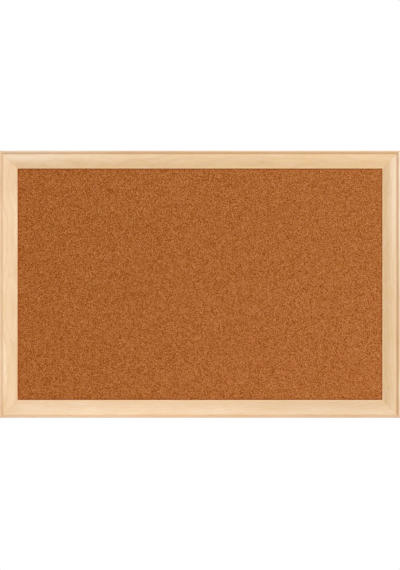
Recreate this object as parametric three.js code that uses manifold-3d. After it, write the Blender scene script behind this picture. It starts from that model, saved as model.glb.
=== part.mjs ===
// Cork notice board in a mitred pine moulding, hung on two D-ring hangers.
// Units are millimetres and +Z is up. The front faces -Y and the wall plane is y = 0.
// The origin lies on the wall plane, midway between the two hooks that the board hangs on.

import * as THREE from 'three';
import { mergeVertices } from 'three/addons/utils/BufferGeometryUtils.js';
import Module from 'manifold-3d';

const wasm = await Module();
wasm.setup();

// Board
const boardWidth = 600;
const boardHeight = 400;
const hookDrop = 80;

// Clearances
const fitGap = 0.3;
const glueLine = 0.1;
const wallGap = 0.3;
const overrun = 2;

// Panel, from the front to the back
const corkThickness = 2;
const coreThickness = 5;
const backingThickness = 2.5;
const panelRecess = 2.5;
const panelPlay = 0.75;

// Moulding section
const mouldingWidth = 26.5;
const rebateWidth = 7;
const lipWidth = 2;
const lipThickness = 2.3;
const lipRound = 0.6;
const beadWidth = 3.2;
const beadRise = 1;
const quirkWidth = 1.4;
const quirkDepth = 0.8;
const shoulderRun = 0.35;
const backRound = 0.5;
const faceOuterSlope = THREE.MathUtils.degToRad(6.5);
const faceInnerSlope = THREE.MathUtils.degToRad(28.5);

// V-nails across the mitres
const vNailSheet = 0.5;
const vNailWing = 4.2;
const vNailTip = 1.2;
const vNailDepth = 10;
const vNailTipBend = THREE.MathUtils.degToRad(35);
const vNailShares = [0.3, 0.72];

// Retaining points in the rebate
const pointLength = 15;
const pointWidth = 5.5;
const pointThickness = 0.5;
const pointTaper = 4;
const pointTipWidth = 1.6;
const pointDriven = 7;
const railPointShares = [-1 / 3, 0, 1 / 3];
const stilePointShares = [-0.15, 0.15];

// D-ring hangers
const strapWidth = 9;
const strapSheet = 0.6;
const strapFoldGap = 0.1;
const curlClosing = THREE.MathUtils.degToRad(35);
const ringWire = 2;
const ringHeight = 12;
const ringCorner = 2;
const ringSplit = 0.4;
const ringSidePlay = 0.5;
const pivotGap = 0.25;
const ringHeadGap = 1.5;

// Hanger screws
const screwHeadRadius = 3;
const screwHeadHeight = 1.9;
const screwHeadEdge = 0.6;
const screwShankRadius = 1.6;
const screwLength = 12;
const screwTaper = 3.5;
const crossLength = 3.4;
const crossWidth = 0.8;
const crossDepth = 1.1;

// Rubber bumpers
const bumperRadius = 6;
const bumperTopRadius = 4.8;
const bumperRound = 0.9;
const bumperInset = 32;

// Facets
const arcSegments = 7;
const roundSegments = 24;
const wireSides = 10;
const wireSteps = 56;
const curlSteps = 20;

// Finishes
const pine = { color: 0xf0d2a8, roughness: 0.55, metalness: 0 };
const cork = { color: 0xab6431, roughness: 0.9, metalness: 0 };
const softboard = { color: 0xb59c78, roughness: 0.95, metalness: 0 };
const hardboard = { color: 0x6f4a2e, roughness: 0.7, metalness: 0 };
const steel = { color: 0xb9bbbd, roughness: 0.35, metalness: 1 };
const zinc = { color: 0xc6c8c6, roughness: 0.3, metalness: 1 };
const rubber = { color: 0x2b2b2c, roughness: 0.8, metalness: 0 };

// Sizes that follow from the ones above. Depths in the moulding count forwards from its back.
const backWidth = mouldingWidth - rebateWidth;
const ledgeDepth = panelRecess + backingThickness + coreThickness + corkThickness;
const lipFront = ledgeDepth + lipThickness;
const faceStart = beadWidth + quirkWidth + shoulderRun;
const faceEnd = mouldingWidth - lipWidth;
const faceTurn = Math.sin(faceInnerSlope) - Math.sin(faceOuterSlope);
const faceRadius = (faceEnd - faceStart) / faceTurn;
const faceFall = faceRadius * (Math.cos(faceOuterSlope) - Math.cos(faceInnerSlope));
const mouldingDepth = lipFront + faceFall + beadRise;
const beadRadius = beadWidth / 2;
const beadMiddle = mouldingDepth - beadRadius;
const quirkFloor = mouldingDepth - beadRise - quirkDepth;
const panelWidth = boardWidth - 2 * (backWidth + panelPlay);
const panelHeight = boardHeight - 2 * (backWidth + panelPlay);

const strapStack = 2 * strapSheet + strapFoldGap;
const curlBore = ringWire / 2 + pivotGap;
const pivotHeight = curlBore + strapSheet;
const ringHalfWidth = strapWidth / 2 + ringSidePlay + ringCorner;
const screwDrop = ringHeight + ringWire / 2 + ringHeadGap + screwHeadRadius;
const pilotDepth = screwLength - strapStack + fitGap;

const bumperHeight = 2 * pivotHeight + wallGap;
const backY = -bumperHeight;
const topZ = hookDrop;
const middleZ = topZ - boardHeight / 2;
const pivotZ = ringWire / 2 - ringHeight;
const hangerX = (boardWidth - backWidth) / 2;

// Solids

function solidOf(geometry) {
  const bare = geometry.clone();
  bare.deleteAttribute('normal');
  bare.deleteAttribute('uv');
  const merged = mergeVertices(bare);
  const corners = merged.index.array;
  const triangles = [];
  for (let i = 0; i < corners.length; i += 3) {
    const [a, b, c] = [corners[i], corners[i + 1], corners[i + 2]];
    if (a !== b && b !== c && c !== a) triangles.push(a, b, c);
  }
  const vertProperties = new Float32Array(merged.attributes.position.array);
  const triVerts = new Uint32Array(triangles);
  return new wasm.Manifold(new wasm.Mesh({ numProp: 3, vertProperties, triVerts }));
}

function geometryOf(solid) {
  const mesh = solid.getMesh();
  const geometry = new THREE.BufferGeometry();
  geometry.setAttribute('position', new THREE.BufferAttribute(mesh.vertProperties, 3));
  geometry.setIndex(new THREE.BufferAttribute(mesh.triVerts, 1));
  geometry.computeVertexNormals();
  return geometry;
}

function cutAway(geometry, cutters) {
  let solid = solidOf(geometry);
  for (const cutter of cutters) solid = solid.subtract(solidOf(cutter));
  return geometryOf(solid);
}

function keepInside(geometry, limit) {
  return geometryOf(solidOf(geometry).intersect(solidOf(limit)));
}

// A shape drawn in x and z on the back of the board, with its depth running forwards from start.
function drawnOnBack(shape, start, depth) {
  const geometry = new THREE.ExtrudeGeometry(shape, {
    depth,
    bevelEnabled: false,
    curveSegments: arcSegments,
  });
  return geometry.rotateX(Math.PI / 2).translate(0, -start, 0);
}

// The outline of a bent sheet seen edge on: its centre line widened to both sides, square at the ends.
function sheetShape(centreLine, thickness, endGrowth = 0) {
  const line = centreLine.map((point) => point.clone());
  const last = line.length - 1;
  const directions = line.slice(1).map((point, i) => point.clone().sub(line[i]).normalize());
  line[0].addScaledVector(directions[0], -endGrowth);
  line[last].addScaledVector(directions[last - 1], endGrowth);
  const leftSide = [];
  const rightSide = [];
  line.forEach((point, i) => {
    const before = directions[Math.max(i - 1, 0)];
    const after = directions[Math.min(i, last - 1)];
    const normal = new THREE.Vector2(-before.y - after.y, before.x + after.x);
    const reach = thickness / (1 + before.dot(after)) / 2;
    leftSide.push(point.clone().addScaledVector(normal, reach));
    rightSide.push(point.clone().addScaledVector(normal, -reach));
  });
  return new THREE.Shape([...leftSide, ...rightSide.reverse()]);
}

// Moulding: x runs from the outer edge inwards and y from the back forwards. Inside the bead and its
// quirk, a rounded face falls to the flat lip that holds the cork.
function mouldingShape() {
  const shape = new THREE.Shape();
  const centreX = faceStart - faceRadius * Math.sin(faceOuterSlope);
  const centreY = lipFront - faceRadius * Math.cos(faceInnerSlope);
  const startAngle = Math.PI / 2 - faceOuterSlope;
  const endAngle = Math.PI / 2 - faceInnerSlope;
  shape.moveTo(backRound, 0);
  shape.absarc(backRound, backRound, backRound, 1.5 * Math.PI, Math.PI, true);
  shape.absarc(beadRadius, beadMiddle, beadRadius, Math.PI, 0, true);
  shape.lineTo(beadWidth, quirkFloor);
  shape.lineTo(beadWidth + quirkWidth, quirkFloor);
  shape.absarc(centreX, centreY, faceRadius, startAngle, endAngle, true);
  shape.absarc(mouldingWidth - lipRound, lipFront - lipRound, lipRound, Math.PI / 2, 0, true);
  shape.lineTo(mouldingWidth, ledgeDepth);
  shape.lineTo(backWidth, ledgeDepth);
  shape.lineTo(backWidth, 0);
  return shape;
}

// One side of the frame, as it lies along the top: z = 0 is its outer edge and y = 0 its back.
function mitredLength(length) {
  const geometry = new THREE.ExtrudeGeometry(mouldingShape(), {
    depth: 1,
    bevelEnabled: false,
    curveSegments: arcSegments,
  });
  const position = geometry.attributes.position;
  const halfGlue = glueLine / Math.SQRT2;
  for (let i = 0; i < position.count; i += 1) {
    const across = position.getX(i);
    const forwards = position.getY(i);
    const side = position.getZ(i) > 0 ? -1 : 1;
    position.setXYZ(i, side * (length / 2 - across - halfGlue), -forwards, -across);
  }
  return geometry;
}

// V-nail: two wings square to each other, with their tips bent outwards. The apex is at the origin.
function vNailLine() {
  const bentAlong = vNailWing + vNailTip * Math.cos(vNailTipBend);
  const bentOut = vNailTip * Math.sin(vNailTipBend);
  return [
    new THREE.Vector2(-bentAlong, bentOut),
    new THREE.Vector2(-vNailWing, 0),
    new THREE.Vector2(0, 0),
    new THREE.Vector2(0, -vNailWing),
    new THREE.Vector2(bentOut, -bentAlong),
  ];
}

function vNailSlots(length) {
  const shape = sheetShape(vNailLine(), vNailSheet + 2 * fitGap, fitGap);
  const slots = [];
  for (const share of vNailShares) {
    const inset = share * backWidth;
    for (const turn of [0, -Math.PI / 2]) {
      const side = turn === 0 ? 1 : -1;
      const slot = drawnOnBack(shape, -overrun, vNailDepth + fitGap + overrun);
      slots.push(slot.rotateY(turn).translate(side * (length / 2 - inset), 0, -inset));
    }
  }
  return slots;
}

// Retaining point: a flat tab whose narrowed tip is up, with z = 0 at the rebate wall.
function pointShape(growth) {
  const halfWidth = pointWidth / 2 + growth;
  const halfTip = pointTipWidth / 2 + growth;
  const tip = pointDriven + growth;
  const tail = pointDriven - pointLength;
  return new THREE.Shape([
    new THREE.Vector2(-halfWidth, tail),
    new THREE.Vector2(halfWidth, tail),
    new THREE.Vector2(halfWidth, tip - pointTaper),
    new THREE.Vector2(halfTip, tip),
    new THREE.Vector2(-halfTip, tip),
    new THREE.Vector2(-halfWidth, tip - pointTaper),
  ]);
}

function pointSlots(length, shares) {
  const start = panelRecess - pointThickness - fitGap;
  const depth = pointThickness + 2 * fitGap;
  const shape = pointShape(fitGap);
  return shares.map((share) => {
    return drawnOnBack(shape, start, depth).translate(share * length, 0, -backWidth);
  });
}

// A stile has one pilot hole, drilled this far from the middle of its length.
function pilotHole(along) {
  const radius = screwShankRadius + fitGap;
  const length = pilotDepth + overrun;
  const hole = new THREE.CylinderGeometry(radius, radius, length, roundSegments);
  return hole.translate(along, length / 2 - pilotDepth, -backWidth / 2);
}

function frameSide(length, pointShares, pilotPlaces) {
  const cutters = [
    ...vNailSlots(length),
    ...pointSlots(length, pointShares),
    ...pilotPlaces.map(pilotHole),
  ];
  return cutAway(mitredLength(length), cutters);
}

// D-ring: a wire bent to a D, whose two ends meet in the middle of its straight bar.
class BentWire extends THREE.Curve {
  constructor(outline) {
    super();
    this.outline = outline;
  }

  getPoint(share, target = new THREE.Vector3()) {
    const point = this.outline.getPoint(share);
    return target.set(point.x, 0, point.y);
  }
}

function ringGeometry() {
  const bend = ringHalfWidth - ringCorner;
  const archZ = ringHeight - ringHalfWidth;
  const outline = new THREE.Path();
  outline.moveTo(ringSplit / 2, 0);
  outline.absarc(bend, ringCorner, ringCorner, -Math.PI / 2, 0, false);
  outline.absarc(0, archZ, ringHalfWidth, 0, Math.PI, false);
  outline.absarc(-bend, ringCorner, ringCorner, Math.PI, 1.5 * Math.PI, false);
  outline.lineTo(-ringSplit / 2, 0);
  const section = [];
  for (let i = 0; i < wireSides; i += 1) {
    const angle = (2 * Math.PI * i) / wireSides;
    section.push(new THREE.Vector2(Math.cos(angle), Math.sin(angle)).multiplyScalar(ringWire / 2));
  }
  return new THREE.ExtrudeGeometry(new THREE.Shape(section), {
    steps: wireSteps,
    extrudePath: new BentWire(outline),
  });
}

// Hanger strap seen edge on, folded round the ring's bar: x runs down the strap and y off the wood.
function strapLine() {
  const curlRadius = curlBore + strapSheet / 2;
  const lowerLayer = strapSheet / 2;
  const upperLayer = 1.5 * strapSheet + strapFoldGap;
  const strapEnd = screwDrop + strapWidth / 2 + overrun;
  const line = [new THREE.Vector2(strapEnd, lowerLayer)];
  for (let i = 0; i <= curlSteps; i += 1) {
    const angle = ((Math.PI + curlClosing) * i) / curlSteps;
    const along = -curlRadius * Math.sin(angle);
    line.push(new THREE.Vector2(along, pivotHeight - curlRadius * Math.cos(angle)));
  }
  const leaving = line[line.length - 1];
  const run = (leaving.y - upperLayer) / Math.tan(curlClosing);
  line.push(new THREE.Vector2(leaving.x + run, upperLayer));
  line.push(new THREE.Vector2(strapEnd, upperLayer));
  return line;
}

function strapGeometry() {
  const blankWidth = strapWidth + 2 * overrun;
  const folded = new THREE.ExtrudeGeometry(sheetShape(strapLine(), strapSheet), {
    depth: blankWidth,
    bevelEnabled: false,
  });
  folded.rotateY(Math.PI / 2).translate(-blankWidth / 2, 0, 0);

  const outline = new THREE.Shape();
  outline.moveTo(strapWidth / 2, pivotHeight + overrun);
  outline.lineTo(-strapWidth / 2, pivotHeight + overrun);
  outline.absarc(0, -screwDrop, strapWidth / 2, Math.PI, 2 * Math.PI, false);
  const hole = new THREE.Path();
  hole.absarc(0, -screwDrop, screwShankRadius + fitGap, 0, 2 * Math.PI, true);
  outline.holes.push(hole);
  const farthest = 2 * pivotHeight + overrun;
  return keepInside(folded, drawnOnBack(outline, -farthest, farthest + overrun));
}

// Pan head wood screw with a cross recess. Its head's underside is at y = 0.
function screwGeometry() {
  const profile = [
    new THREE.Vector2(0, -screwLength),
    new THREE.Vector2(screwShankRadius, screwTaper - screwLength),
    new THREE.Vector2(screwShankRadius, 0),
    new THREE.Vector2(screwHeadRadius, 0),
  ];
  for (let i = 0; i < arcSegments; i += 1) {
    const angle = (Math.PI * i) / arcSegments / 2;
    const dome = (screwHeadHeight - screwHeadEdge) * Math.sin(angle);
    profile.push(new THREE.Vector2(screwHeadRadius * Math.cos(angle), screwHeadEdge + dome));
  }
  profile.push(new THREE.Vector2(0, screwHeadHeight));
  const screw = new THREE.LatheGeometry(profile, roundSegments);
  const slotHeight = crossDepth + overrun;
  const slotY = screwHeadHeight - crossDepth + slotHeight / 2;
  const slots = [
    new THREE.BoxGeometry(crossLength, slotHeight, crossWidth),
    new THREE.BoxGeometry(crossWidth, slotHeight, crossLength),
  ];
  return cutAway(screw, slots.map((slot) => slot.translate(0, slotY, 0)));
}

function bumperGeometry() {
  const profile = [new THREE.Vector2(0, 0), new THREE.Vector2(bumperRadius, 0)];
  for (let i = 0; i <= arcSegments; i += 1) {
    const angle = (Math.PI * i) / arcSegments / 2;
    const radius = bumperTopRadius - bumperRound + bumperRound * Math.cos(angle);
    profile.push(new THREE.Vector2(radius, bumperHeight - bumperRound + bumperRound * Math.sin(angle)));
  }
  profile.push(new THREE.Vector2(0, bumperHeight));
  return new THREE.LatheGeometry(profile, roundSegments);
}

// Assembly

function piece(name, geometry, finish) {
  const mesh = new THREE.Mesh(geometry, new THREE.MeshStandardMaterial(finish));
  mesh.name = name;
  return mesh;
}

// The panel's layers, from the sight lip backwards.
function panel() {
  const group = new THREE.Group();
  const layers = [
    ['cork_sheet', corkThickness, cork],
    ['core_board', coreThickness, softboard],
    ['backing_sheet', backingThickness, hardboard],
  ];
  let front = ledgeDepth;
  for (const [name, thickness, finish] of layers) {
    const layer = piece(name, new THREE.BoxGeometry(panelWidth, thickness, panelHeight), finish);
    layer.position.y = thickness / 2 - front;
    group.add(layer);
    front -= thickness;
  }
  return group;
}

// The four sides, each in a group turned so that it lies along the top, with the V-nails at its right.
const sides = [
  ['frame_rail_top', boardWidth, boardHeight, railPointShares],
  ['frame_stile_right', boardHeight, boardWidth, stilePointShares],
  ['frame_rail_bottom', boardWidth, boardHeight, railPointShares],
  ['frame_stile_left', boardHeight, boardWidth, stilePointShares],
];
const screwAlong = pivotZ - screwDrop - middleZ;
const pilotPlaces = { frame_stile_right: [-screwAlong], frame_stile_left: [screwAlong] };

function frame() {
  const group = new THREE.Group();
  const vNail = drawnOnBack(sheetShape(vNailLine(), vNailSheet), 0, vNailDepth);
  const point = drawnOnBack(pointShape(0), panelRecess - pointThickness, pointThickness);
  let vNails = 0;
  let points = 0;
  sides.forEach(([name, length, across, pointShares], turns) => {
    const turned = new THREE.Group();
    turned.rotation.y = (turns * Math.PI) / 2;
    const side = piece(name, frameSide(length, pointShares, pilotPlaces[name] ?? []), pine);
    side.position.z = across / 2;
    turned.add(side);
    for (const share of vNailShares) {
      vNails += 1;
      const inset = share * backWidth;
      const nail = piece(`v_nail_${vNails}`, vNail, steel);
      nail.position.set(length / 2 - inset, 0, across / 2 - inset);
      turned.add(nail);
    }
    for (const share of pointShares) {
      points += 1;
      const tab = piece(`retaining_point_${points}`, point, steel);
      tab.position.set(share * length, 0, across / 2 - backWidth);
      turned.add(tab);
    }
    group.add(turned);
  });
  return group;
}

function hanger(side) {
  const group = new THREE.Group();
  const strap = piece(`hanger_strap_${side}`, strapGeometry(), zinc);
  const ring = piece(`hanger_ring_${side}`, ringGeometry(), zinc);
  ring.position.y = pivotHeight;
  const screw = piece(`hanger_screw_${side}`, screwGeometry(), zinc);
  screw.position.set(0, strapStack, -screwDrop);
  group.add(strap, ring, screw);
  return group;
}

const board = new THREE.Group();
board.position.set(0, backY, middleZ);
board.add(panel(), frame());
for (const [side, sign] of [['left', -1], ['right', 1]]) {
  const hung = hanger(side);
  hung.position.set(sign * hangerX, 0, pivotZ - middleZ);
  const bumper = piece(`bumper_${side}`, bumperGeometry(), rubber);
  bumper.position.set(sign * (boardWidth / 2 - bumperInset), 0, (backWidth - boardHeight) / 2);
  board.add(hung, bumper);
}

const corkBoard = new THREE.Group();
corkBoard.add(board);

export default corkBoard;
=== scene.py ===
"""Cork board in a mitred pine moulding, hung on two D-rings, and a studio to picture it in.

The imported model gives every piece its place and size. The operators model the pieces around it,
give them their finishes and set up the studio. Lengths are metres, except in the finishes, where a
pattern is drawn in millimetres.
"""

import math
from contextlib import contextmanager
from typing import NamedTuple

import bpy
from bpy.props import FloatProperty, FloatVectorProperty, IntProperty, PointerProperty
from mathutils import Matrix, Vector


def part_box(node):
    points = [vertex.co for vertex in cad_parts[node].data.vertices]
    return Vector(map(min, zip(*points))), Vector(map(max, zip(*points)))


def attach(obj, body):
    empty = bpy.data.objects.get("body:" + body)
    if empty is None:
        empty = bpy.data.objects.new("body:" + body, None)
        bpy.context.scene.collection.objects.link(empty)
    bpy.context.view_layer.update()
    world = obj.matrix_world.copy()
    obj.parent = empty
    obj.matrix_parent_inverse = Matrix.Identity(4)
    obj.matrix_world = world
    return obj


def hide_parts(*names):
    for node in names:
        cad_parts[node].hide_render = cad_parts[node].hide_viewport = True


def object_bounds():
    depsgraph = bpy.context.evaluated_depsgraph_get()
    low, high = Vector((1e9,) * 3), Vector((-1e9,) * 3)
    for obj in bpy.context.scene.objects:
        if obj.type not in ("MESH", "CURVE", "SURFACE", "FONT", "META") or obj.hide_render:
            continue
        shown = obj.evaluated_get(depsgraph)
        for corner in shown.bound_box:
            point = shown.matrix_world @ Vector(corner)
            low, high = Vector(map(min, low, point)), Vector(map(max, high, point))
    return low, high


bl_info = {
    "name": "Cork board",
    "version": (1, 0, 0),
    "blender": (4, 5, 0),
    "location": "View3D > Sidebar > Cork board",
    "description": "Models a framed cork board with the hangers on its back, and a studio for it",
    "category": "Object",
}

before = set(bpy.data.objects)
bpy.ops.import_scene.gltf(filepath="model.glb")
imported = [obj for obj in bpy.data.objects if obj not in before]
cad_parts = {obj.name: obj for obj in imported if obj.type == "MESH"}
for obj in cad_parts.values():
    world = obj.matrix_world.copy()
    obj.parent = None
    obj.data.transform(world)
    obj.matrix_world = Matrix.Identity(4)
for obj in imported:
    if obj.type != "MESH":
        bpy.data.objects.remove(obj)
CAD_BOX = [list(corner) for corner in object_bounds()]

MM = 0.001
PER_METRE = 1000.0
MERGE_DISTANCE = 0.001 * MM
FLAT_ANGLE = math.radians(0.4)
SMOOTH_ANGLE = math.radians(32)
QUARTER = math.radians(90)
BOARD = "board"
SIDES = ("left", "right")
BOARD_LOW, BOARD_HIGH = (Vector(corner) for corner in CAD_BOX)
MIDDLE = (BOARD_LOW + BOARD_HIGH) / 2
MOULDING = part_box("frame_stile_left")[1].x - BOARD_LOW.x

# Numbers of facets and steps.
EDGE_SEGMENTS = 2
POINT_SEGMENTS = 4
CORNER_STEPS = 8
ARCH_STEPS = 36
SCREW_SIDES = 32
DOME_STEPS = 8
FOOT_SIDES = 48
# The length of the boards' slow waves, in facets.
WAVE_FACETS = 8
# A screw: the share of its radius where it closes, the shares of the pitch over which its thread
# rises and falls, the turns over which it tapers, its head's lower edge as shares of the radius and
# the height, the share of the height where its dome starts, and the taper of its recess.
CLOSED = 0.05
THREAD_RISE, THREAD_FALL = 0.45, 0.2
TAPERED_TURNS = 3
HEAD_UNDERSIDE, HEAD_EDGE = 0.97, 0.12
DOME_START = 0.3
RECESS_TAPER = 0.45
# A bumper's profile from its foot up: shares of its height and of its radius.
FOOT_PROFILE = (
    (0.0, 0.97), (0.04, 1.0), (0.13, 1.0), (0.17, 0.975), (0.19, 0.94), (0.23, 0.93),
    (0.5, 0.88), (0.74, 0.825), (0.84, 0.805), (0.92, 0.765), (0.98, 0.70), (1.0, 0.62),
    (1.0, 0.34), (0.985, 0.29), (0.95, 0.25), (0.95, 0.05),
)
# Where the floor starts to fade and where it has gone, as shares of its size.
FLOOR_FADE = (0.15, 0.4)


def a_length(name, description, default):
    """A length, in metres."""
    return FloatProperty(name=name, description=description, default=default, unit="LENGTH")


def an_angle(name, description, degrees):
    """An angle, given in degrees."""
    return FloatProperty(
        name=name,
        description=description,
        default=math.radians(degrees),
        subtype="ANGLE",
        unit="ROTATION",
    )


def a_power(name, description, default):
    """A lamp's power, in watts."""
    return FloatProperty(
        name=name, description=description, default=default, min=0.0, unit="POWER"
    )


def a_colour(name, description, default):
    """A colour, as red, green and blue from 0 to 1."""
    return FloatVectorProperty(
        name=name, description=description, default=default, subtype="COLOR"
    )


class BoardSizes(bpy.types.PropertyGroup):
    """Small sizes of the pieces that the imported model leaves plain."""

    arris: a_length("Wood arris", "Width of the eased edges of the moulding", 0.12 * MM)
    mitre_reach: a_length(
        "Mitre reach",
        "How far each end of a side is pressed into the glue line of its mitre",
        0.05 * MM,
    )
    cork_step: a_length("Cork facet", "Distance between the points of the cork's surface", 1.7 * MM)
    cork_relief: a_length(
        "Cork relief", "Depth of the hollows between the cork's granules", 0.05 * MM
    )
    granule: a_length("Cork granule", "Width of a typical cork granule", 1.3 * MM)
    board_step: a_length(
        "Board facet",
        "Distance between the points of the surface of the two boards behind the cork",
        9.0 * MM,
    )
    board_edge: a_length(
        "Board edge", "Width of the worn edges of the two boards behind the cork", 0.3 * MM
    )
    board_wave: a_length(
        "Board wave", "Depth of the slow waves in the two boards behind the cork", 0.15 * MM
    )
    screen: a_length(
        "Screen", "Pitch of the wire screen's print on the back of the hardboard", 1.4 * MM
    )
    metal_edge: a_length("Metal edge", "Width of the rounded edges of cut sheet metal", 0.07 * MM)
    point_corner: a_length(
        "Panel point corner", "Radius of the rounded corners of a panel point", 1.6 * MM
    )
    wire: a_length("Ring wire", "Diameter of the wire of a D-ring", 2.0 * MM)
    wire_sides: IntProperty(
        name="Wire sides", description="Facets round the wire of a D-ring", default=20, min=8
    )
    ring_corner: a_length("Ring corner", "Bend radius of a D-ring's two lower corners", 2.0 * MM)
    ring_split: a_length("Ring split", "Gap where the two ends of a D-ring's wire meet", 0.4 * MM)
    screw_head: a_length("Screw head", "Height of a screw's pan head", 1.9 * MM)
    screw_core: a_length("Screw core", "Radius of a screw at the root of its thread", 1.15 * MM)
    screw_thread: a_length("Screw thread", "Radius of a screw over its thread", 1.6 * MM)
    screw_pitch: a_length("Screw pitch", "Distance between the turns of a screw's thread", 1.3 * MM)
    cross_length: a_length(
        "Cross length", "Length of the slots of a screw's cross recess", 3.4 * MM
    )
    cross_width: a_length("Cross width", "Width of the slots of a screw's cross recess", 0.8 * MM)
    cross_depth: a_length("Cross depth", "Depth of a screw's cross recess", 1.1 * MM)


class BoardColours(bpy.types.PropertyGroup):
    """Colours of the finishes."""

    pine: a_colour("Pine", "Clean pine", (0.824, 0.592, 0.371))
    pine_cream: a_colour("Cream pine", "Pale sapwood of the pine", (0.925, 0.725, 0.52))
    pine_pink: a_colour("Pink pine", "Rosy patches of the pine", (0.834, 0.572, 0.386))
    pine_straw: a_colour("Straw pine", "Straw coloured patches of the pine", (0.788, 0.546, 0.288))
    pine_green: a_colour("Olive patches", "Greener patches of the pine", (0.80, 0.60, 0.36))
    pine_late: a_colour("Late wood", "Darker late wood of the growth rings", (0.70, 0.45, 0.24))
    pine_resin: a_colour("Resin", "Amber patches of the pine", (0.80, 0.48, 0.21))
    # Also the colour of the painted shade in the quirk and on the bead.
    pine_knot_and_shade: a_colour("Knot", "Pin knots and the dirt in the quirk", (0.42, 0.20, 0.065))
    # Painted light: the warm light that the cork throws back onto the sight lip.
    lip_bounce_light: a_colour(
        "Lip glow",
        "Warmth that the sight lip has beside the cork, as a factor on its own colour",
        (1.0, 0.93, 0.83),
    )
    cork: a_colour("Cork", "Middle colour of the cork granules", (0.368, 0.109, 0.0145))
    cork_dark: a_colour(
        "Dark cork", "Dark granules and the gaps between granules", (0.205, 0.037, 0.001)
    )
    cork_pale: a_colour("Pale cork", "Pale granules", (0.59, 0.239, 0.09))
    softboard: a_colour("Softboard", "Softboard behind the cork", (0.46, 0.33, 0.19))
    softboard_dark: a_colour(
        "Dark softboard", "Bark and dark fibres in the softboard", (0.27, 0.17, 0.085)
    )
    hardboard: a_colour("Hardboard", "Hardboard backing", (0.17, 0.078, 0.033))
    hardboard_pale: a_colour(
        "Pale hardboard", "Pale fibres and rubbed places of the hardboard", (0.30, 0.165, 0.08)
    )
    steel: a_colour(
        "Nail steel", "Bright steel of the corner nails and the panel points", (0.48, 0.49, 0.50)
    )
    steel_dark: a_colour("Dark steel", "Oiled and scuffed places of the steel", (0.24, 0.235, 0.23))
    zinc: a_colour("Zinc plate", "Zinc plating of the hangers and screws", (0.60, 0.61, 0.60))
    zinc_dull: a_colour("Dull zinc", "Dull patches of the zinc plating", (0.44, 0.45, 0.45))
    rubber: a_colour("Rubber", "Rubber of the bumpers", (0.024, 0.024, 0.025))
    rubber_dust: a_colour("Rubber dust", "Dusty places of the rubber", (0.075, 0.072, 0.068))


class StudioSettings(bpy.types.PropertyGroup):
    """Camera, lamps and floor."""

    lens: FloatProperty(
        name="Lens", description="Focal length, in millimetres", default=200.0, unit="CAMERA"
    )
    frame_height: a_length("Frame height", "Height of the picture where the board hangs", 0.8536)
    aim: FloatVectorProperty(
        name="Aim",
        description="How far right of, behind and above the board's middle the picture's lies",
        default=(0.00015, 0.0, -0.0011),
        subtype="TRANSLATION",
        unit="LENGTH",
    )
    key_watts: a_power("Key lamp", "Power of the soft key lamp", 1552.0)
    key_side: an_angle(
        "Key to the side", "How far the key lamp stands to the right of the board's front", 19
    )
    key_height: an_angle("Key height", "How far the key lamp stands above the board's front", 16)
    back_watts: a_power("Back lamp", "Power of the soft lamp behind the board", 1160.0)
    back_side: an_angle(
        "Back lamp to the side", "How far the back lamp stands to the left of the board's back", 24
    )
    back_height: an_angle(
        "Back lamp height", "How far the back lamp stands above the board's back", 30
    )
    lamp_distance: a_length("Lamp distance", "Distance from the board to each lamp", 14.0)
    lamp_size: a_length("Lamp size", "Side of each square lamp", 4.4)
    sky: FloatProperty(
        name="Studio fill",
        description="Strength of the even light from all sides",
        default=0.28,
        min=0.0,
    )
    floor_drop: a_length("Floor drop", "How far the floor lies below the board's lower edge", 0.45)
    floor_size: a_length("Floor size", "Side of the square floor", 6.0)
    floor_colour: a_colour("Floor", "Pale floor", (0.86, 0.86, 0.85))


class Shade:
    """A socket of a finish's nodes. Arithmetic adds Math nodes, or Vector Math nodes for places."""

    def __init__(self, nodes, socket):
        self.nodes = nodes
        self.socket = socket

    def output(self, name):
        """Another output of the same node."""
        return Shade(self.nodes, self.socket.node.outputs[name])

    def __add__(self, other):
        return self.nodes.math("ADD", self, other)

    def __sub__(self, other):
        return self.nodes.math("SUBTRACT", self, other)

    def __rsub__(self, other):
        return self.nodes.math("SUBTRACT", other, self)

    def __mul__(self, other):
        return self.nodes.math("MULTIPLY", self, other)

    def __truediv__(self, other):
        return self.nodes.math("DIVIDE", self, other)

    __radd__ = __add__
    __rmul__ = __mul__

    def between(self, low, high):
        """0 up to low and 1 from high on, with a smooth rise between them."""
        sockets = {"Value": self, "From Min": low, "From Max": high}
        return self.nodes.node("ShaderNodeMapRange", {"interpolation_type": "SMOOTHSTEP"}, sockets)


class Nodes:
    """The nodes of a finish or of the studio's sky."""

    def __init__(self, tree):
        self.tree = tree

    def fill(self, socket, value):
        """Links or sets a socket."""
        if isinstance(value, Shade):
            self.tree.links.new(value.socket, socket)
        elif socket.type == "RGBA":
            socket.default_value = (*value, 1.0)
        else:
            socket.default_value = value

    def node(self, kind, settings=None, sockets=None):
        """A new node. Its settings are made first, then its sockets filled, by name or number."""
        node = self.tree.nodes.new(kind)
        for name, value in (settings or {}).items():
            setattr(node, name, value)
        for key, value in (sockets or {}).items():
            named = (s for s in node.inputs if s.enabled and key in (s.name, s.identifier))
            self.fill(node.inputs[key] if isinstance(key, int) else next(named), value)
        return Shade(self, next(socket for socket in node.outputs if socket.enabled))

    def is_vector(self, value):
        """Whether a value has three parts."""
        if isinstance(value, Shade):
            return value.socket.type in ("VECTOR", "RGBA")
        return isinstance(value, tuple)

    def math(self, operation, *values):
        """A Math node of that operation on these values, or Vector Math where one is a vector."""
        kind = "ShaderNodeMath"
        if any(self.is_vector(value) for value in values):
            kind = "ShaderNodeVectorMath"
            values = [(v,) * 3 if isinstance(v, (int, float)) else v for v in values]
        return self.node(kind, {"operation": operation}, dict(enumerate(values)))

    def blend(self, output, share, first, second):
        """Shows a blend of two shaders by the tree's output node of that name."""
        blended = self.node("ShaderNodeMixShader", None, {0: share, 1: first, 2: second})
        self.fill(self.tree.nodes[output].inputs["Surface"], blended)


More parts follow.
